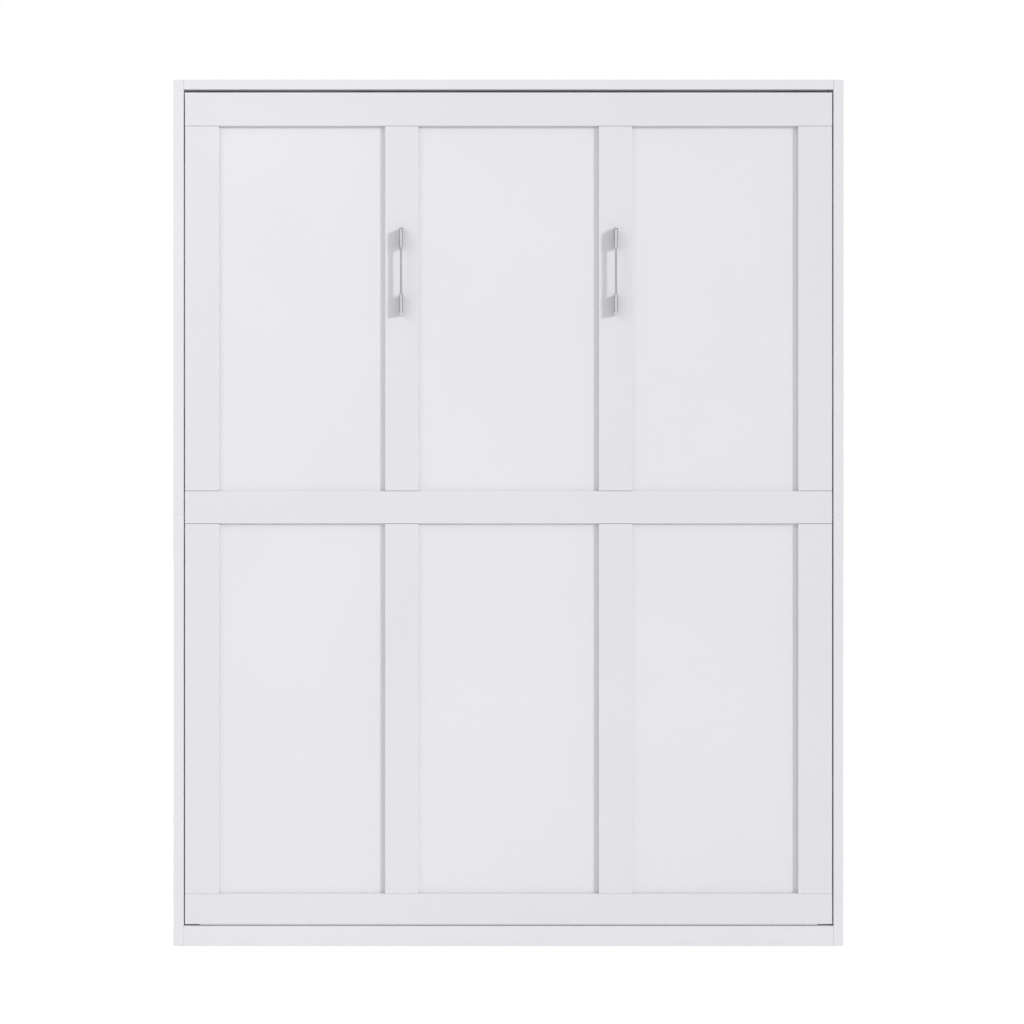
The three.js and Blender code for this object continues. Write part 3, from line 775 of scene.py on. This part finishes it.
def mattress_block(low, high):
    """The mattress's shell: slack at first, then swelled, then quilted on its top and border."""
    top = high.y - TOP_SWELL
    start_low = Vector((low.x + SIDE_SWELL, low.y, low.z + SIDE_SWELL))
    start_high = Vector((high.x - SIDE_SWELL, top, high.z - SIDE_SWELL))
    mesh = mesh_of("mattress_shell", lambda bm: box_shell(bm, start_low, start_high))
    made = piece("mattress_quilted", mesh, ticking, "bed")
    co = points_of(mesh)
    on_top = co[:, 1] > top - 0.5 * MM
    tuft = tuft_distance(co[:, 0], co[:, 2], TUFT_SPACING)
    edge = np.minimum.reduce(
        [co[:, 0] - start_low.x, start_high.x - co[:, 0], co[:, 2] - start_low.z, start_high.z - co[:, 2]]
    )
    inside = on_top & (edge > EDGE_RADIUS)
    co[inside, 1] -= TUFT_DEPTH * np.exp(-((tuft[inside] / TUFT_REACH) ** 2))
    mesh.vertices.foreach_set("co", co.ravel())
    underside = co[:, 1] < start_low.y + EDGE_RADIUS * 0.3
    from_middle = np.abs(co[:, 1] - (top + start_low.y) / 2)
    seam = np.abs(from_middle - (top - start_low.y) / 2 + SEAM_IN) < SEAM_BAND
    held = underside | (seam & (edge < SEAM_REACH)) | (inside & (tuft < TUFT_HELD))
    caps = np.where(on_top, TOP_SWELL, SIDE_SWELL)
    swell(made, held, caps)
    quilt(made, low, high, top)
    return made


def quilt(made, low, high, top):
    """One subdivision, then stitch lines sunk into the top and round the border."""
    split = made.modifiers.new("split", "SUBSURF")
    split.levels = 1
    split.render_levels = 1
    bpy.context.view_layer.update()
    seen = made.evaluated_get(bpy.context.evaluated_depsgraph_get())
    mesh = bpy.data.meshes.new_from_object(seen)
    made.modifiers.clear()
    made.data = mesh
    co = points_of(mesh)
    normals = np.zeros(len(mesh.vertices) * 3)
    mesh.vertices.foreach_get("normal", normals)
    normals = normals.reshape(-1, 3)
    facing = np.clip((normals[:, 1] - 0.75) / 0.2, 0, 1)
    stitch = np.exp(-((quilt_distance(co[:, 0], co[:, 2], QUILT_SPACING) / QUILT_WIDTH) ** 2))
    sink = QUILT_DEPTH * stitch * facing
    middle = (top + low.y) / 2
    for share in BORDER_GROOVES:
        line = middle + share * (top - low.y)
        band = np.exp(-(((co[:, 1] - line) / BORDER_GROOVE_WIDTH) ** 2))
        sink += BORDER_GROOVE_DEPTH * band * (np.abs(normals[:, 1]) < 0.5)
    co -= normals * sink[:, None]
    strap_low, strap_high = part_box("mattress_strap")
    beside = np.maximum(strap_low.z - co[:, 2], co[:, 2] - strap_high.z)
    under = np.clip(1 - beside / STRAP_FADE, 0, 1)
    co[:, 1] = np.minimum(co[:, 1], high.y + STRAP_ROOM + (1 - under) * FREE_RISE)
    mesh.vertices.foreach_set("co", co.ravel())
    for polygon in mesh.polygons:
        polygon.use_smooth = True
    sides_only = np.abs(normals[:, 1]) < 0.6
    mesh.materials.append(border_cloth)
    for polygon in mesh.polygons:
        if all(sides_only[v] for v in polygon.vertices):
            polygon.material_index = 1


def outline(low, high, inset, steps=10):
    """Points round the mattress's plan, (x, z), with its rounded corners."""
    radius = CORNER_RADIUS - inset
    points = []
    centres = (
        (high.x - CORNER_RADIUS, high.z - CORNER_RADIUS, 0),
        (low.x + CORNER_RADIUS, high.z - CORNER_RADIUS, 1),
        (low.x + CORNER_RADIUS, low.z + CORNER_RADIUS, 2),
        (high.x - CORNER_RADIUS, low.z + CORNER_RADIUS, 3),
    )
    for x, z, quarter in centres:
        for k in range(steps + 1):
            angle = (quarter + k / steps) * math.pi / 2
            points.append((x + radius * math.cos(angle), z + radius * math.sin(angle)))
    return points


def piping(name, low, high, y):
    """A corded seam round the mattress where a panel meets the border."""
    curve = bpy.data.curves.new(name, "CURVE")
    curve.dimensions = "3D"
    curve.bevel_depth = PIPING_RADIUS
    curve.bevel_resolution = 3
    points = outline(low, high, SIDE_SWELL + EDGE_RADIUS * PIPING_IN)
    spline = curve.splines.new("POLY")
    spline.points.add(len(points) - 1)
    for point, (x, z) in zip(spline.points, points):
        point.co = (x, y, z, 1)
    spline.use_cyclic_u = True
    curve.materials.append(piping_cloth)
    made = bpy.data.objects.new(name, curve)
    bpy.context.collection.objects.link(made)
    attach(made, "bed")


STRAP_THICK = 1.8 * MM
BUCKLE_ACROSS = 260 * MM
BUCKLE_LENGTH = 54 * MM
BUCKLE_WIDTH = 54 * MM
BUCKLE_BAR = 8 * MM
BUCKLE_SINK = 2 * MM
BUCKLE_RISE = 7 * MM
BUCKLE_ROUNDING = 2 * MM
# The buckle's tongue: its ends, how far it stops short of the bars below and passes them above
TONGUE_ENDS = (14 * MM, 44 * MM)
TONGUE_SHORT = 1 * MM
TONGUE_RISE = 2 * MM
TONGUE_HALF = 22 * MM
TONGUE_ROUNDING = 3 * MM

# A band's section: shares of its width and of half its thickness, thinner at the edges
BAND_SECTION = (
    (-0.5, 0.6),
    (-0.48, 1),
    (0.48, 1),
    (0.5, 0.6),
    (0.5, -0.6),
    (0.48, -1),
    (-0.48, -1),
    (-0.5, -0.6),
)


def ribbon(bm, path, width, thick):
    """A flat band along a path, its width along Z."""
    rings = []
    for k, (x, y, z) in enumerate(path):
        before, after = path[max(k - 1, 0)], path[min(k + 1, len(path) - 1)]
        along = Vector((after[0] - before[0], after[1] - before[1], 0)).normalized()
        out = Vector((along.y, -along.x, 0)) * thick / 2
        ring = []
        for dz, share in BAND_SECTION:
            ring.append(bm.verts.new(Vector((x, y, z + dz * width)) + out * share))
        rings.append(ring)
    for first, second in zip(rings, rings[1:]):
        for k in range(len(first)):
            n = (k + 1) % len(first)
            bm.faces.new((first[k], first[n], second[n], second[k]))
    bm.faces.new(rings[0])
    bm.faces.new(rings[-1])


def strap_path(low, high, thick, bend=22 * MM, steps=8):
    """From one side rail up past the mattress, across it, and down to the other rail."""
    z = (low.z + high.z) / 2
    x, y = high.x - thick / 2, high.y - thick / 2
    right = [(x, low.y, z), (x, y - bend, z)]
    for k in range(1, steps + 1):
        angle = math.pi / 2 * k / steps
        right.append((x - bend + bend * math.cos(angle), y - bend + bend * math.sin(angle), z))
    across = [((x - bend) * share, y, z) for share in (0.5, 0, -0.5)]
    left = [(-px, py, pz) for px, py, pz in reversed(right)]
    return right + across + left


def make_strap():
    low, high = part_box("mattress_strap")
    path = strap_path(low, high, STRAP_THICK)
    band = mesh_of("strap_webbing_band", lambda bm: ribbon(bm, path, high.z - low.z, STRAP_THICK))
    made = piece("strap_webbing_band", band, webbing, "bed")
    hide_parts("mattress_strap")
    middle = (low.z + high.z) / 2
    left, half = BUCKLE_ACROSS, BUCKLE_WIDTH / 2
    under, over = high.y - BUCKLE_SINK, high.y + BUCKLE_RISE

    def buckle(bm):
        for x in (left, left + BUCKLE_LENGTH - BUCKLE_BAR):
            end = (x + BUCKLE_BAR, over, middle + half)
            block(bm, (x, under, middle - half), end, BUCKLE_ROUNDING)
        for z in (middle - half, middle + half - BUCKLE_BAR):
            end = (left + BUCKLE_LENGTH, over, z + BUCKLE_BAR)
            block(bm, (left, under, z), end, BUCKLE_ROUNDING)
        start = (left + TONGUE_ENDS[0], under + TONGUE_SHORT, middle - TONGUE_HALF)
        end = (left + TONGUE_ENDS[1], over + TONGUE_RISE, middle + TONGUE_HALF)
        block(bm, start, end, TONGUE_ROUNDING)

    mesh = mesh_of("strap_buckle", buckle)
    made = piece("strap_buckle", mesh, black_rubber, "bed")
    keep_flats(made)


def make_mattress():
    low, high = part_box("mattress")
    made = mattress_block(low, high)
    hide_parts("mattress")
    offset = EDGE_RADIUS * PIPING_DOWN
    piping("top_piping", low, high, high.y - TOP_SWELL - offset)
    piping("bottom_piping", low, high, low.y + offset)


fix_cabinet_plates()
fix_bed_plates()
cap_cabinet_boards()
cap_bed_rails()
fix_to_wall()
fit_strut_ends()
cap_legs()
cap_slats()
make_mattress()
make_strap()

# ---- Light and floor ----

AMBIENT = 0.715
KEY_STRENGTH = 1.2
KEY_FROM = Vector((1.05, -1.0, 0.36))
KEY_ANGLE = math.radians(7)
GLOW_FROM = Vector((-2.2, -2.4, 3.0))
GLOW_AT = Vector((-0.4, 0, 1.7))
GLOW_SIZE = 1.5
GLOW_WATTS = 12
# What reflections see straight ahead, and at the flags, which start and end at these shares sideways
FRONT_LEVEL = 1.15
FLAG_LEVEL = 0.0
FLAG_START = 0.2
FLAG_END = 0.45
FLOOR_REACH = 40
FLOOR_LIFT = 0.45


def side_flags(tree, ray):
    """Dark flags at both sides and overhead, seen only by reflections: they draw the chrome's edges."""
    way = add(tree, "ShaderNodeTexCoord").outputs["Generated"]
    parts = add(tree, "ShaderNodeSeparateXYZ", {"Vector": way})
    across = add(tree, "ShaderNodeMath", {0: parts.outputs["X"]}, operation="ABSOLUTE").outputs[0]
    both = {0: across, 1: parts.outputs["Z"]}
    outwards = add(tree, "ShaderNodeMath", both, operation="MAXIMUM").outputs[0]
    flag = between(tree, outwards, FRONT_LEVEL, FLAG_LEVEL, FLAG_START, FLAG_END)
    seen = {"Value": ray.outputs["Is Glossy Ray"], "To Min": 1.0, "To Max": flag}
    return add(tree, "ShaderNodeMapRange", seen).outputs[0]


def light_the_room():
    world = bpy.data.worlds.new("studio")
    bpy.context.scene.world = world
    world.use_nodes = True
    tree = world.node_tree
    tree.nodes.clear()
    ray = add(tree, "ShaderNodeLightPath")
    inputs = {"Value": ray.outputs["Is Camera Ray"], "To Min": AMBIENT, "To Max": 1.0}
    strength = add(tree, "ShaderNodeMapRange", inputs)
    levels = {0: strength.outputs[0], 1: side_flags(tree, ray)}
    lit = add(tree, "ShaderNodeMath", levels, operation="MULTIPLY")
    sky = add(tree, "ShaderNodeBackground", {"Color": (1, 1, 1, 1), "Strength": lit.outputs[0]})
    output = add(tree, "ShaderNodeOutputWorld")
    tree.links.new(sky.outputs[0], output.inputs["Surface"])
    key = bpy.data.lights.new("key", "SUN")
    key.energy = KEY_STRENGTH
    key.angle = KEY_ANGLE
    lamp = bpy.data.objects.new("key", key)
    lamp.visible_glossy = False
    lamp.rotation_euler = KEY_FROM.to_track_quat("Z", "Y").to_euler()
    bpy.context.collection.objects.link(lamp)
    glow = bpy.data.lights.new("glow", "AREA")
    glow.size = GLOW_SIZE
    glow.energy = GLOW_WATTS
    soft = bpy.data.objects.new("glow", glow)
    soft.visible_glossy = False
    soft.location = GLOW_FROM
    soft.rotation_euler = (GLOW_FROM - GLOW_AT).to_track_quat("Z", "Y").to_euler()
    bpy.context.collection.objects.link(soft)


def lay_floor():
    material, tree, shader = surface("pale_floor", {"Base Color": linear("#F4F4F5"), "Roughness": 0.9})
    ray = add(tree, "ShaderNodeLightPath")
    lift = add(tree, "ShaderNodeMapRange", {"Value": ray.outputs["Is Camera Ray"], "To Max": FLOOR_LIFT})
    shader.inputs["Emission Color"].default_value = (1, 1, 1, 1)
    tree.links.new(lift.outputs[0], shader.inputs["Emission Strength"])
    mesh = bpy.data.meshes.new("floor")
    corners = [(x * FLOOR_REACH, y * FLOOR_REACH, 0) for x, y in ((-1, -1), (1, -1), (1, 1), (-1, 1))]
    mesh.from_pydata(corners, [], [(0, 1, 2, 3)])
    mesh.materials.append(material)
    floor = bpy.data.objects.new("floor", mesh)
    bpy.context.collection.objects.link(floor)


light_the_room()
lay_floor()
bpy.context.scene.view_settings.view_transform = "Standard"
